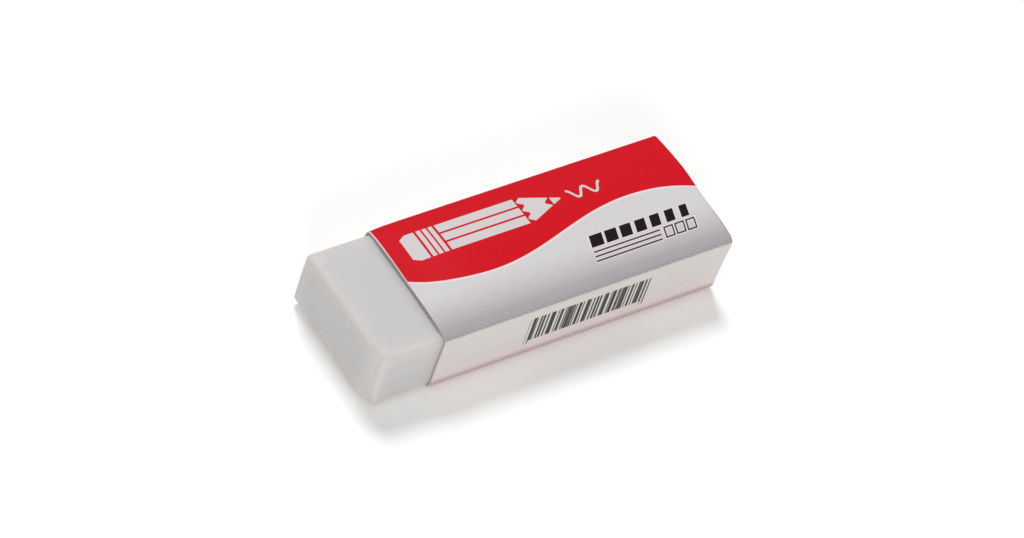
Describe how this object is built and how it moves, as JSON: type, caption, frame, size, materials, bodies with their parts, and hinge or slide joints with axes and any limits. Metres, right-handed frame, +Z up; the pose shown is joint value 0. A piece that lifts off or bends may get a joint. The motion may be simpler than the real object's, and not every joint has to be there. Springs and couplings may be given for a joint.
{
  "type": "rubber eraser",
  "caption": "Soft rectangular rubbing-out block with rounded edges in a sliding tube folded and glued from printed card; one end of the block stands bare.",
  "frame": {"origin": "middle of the base that the part rests on, at the level of the card sleeve's flat base panel", "axes": "+X along the block from its bare nose towards the sleeve's far end, +Y towards the back wall with the glued seam, +Z up through the bowed top panel"},
  "size_m": [0.0604, 0.0216, 0.0116],
  "materials": {
    "eraser_block": "matte, off-white soft vinyl",
    "printed_card": "satin, printed red and screened silver-grey on white board"
  },
  "bodies": {
    "block": {"eraser_block": "eraser_block"},
    "sleeve": {"card_sleeve": "printed_card"}
  },
  "joints": [
    {"name": "sleeve_slide", "type": "slide", "parent": "block", "child": "sleeve", "axis": [1, 0, 0], "range_m": [-0.0623, 0.0517]}
  ]
}
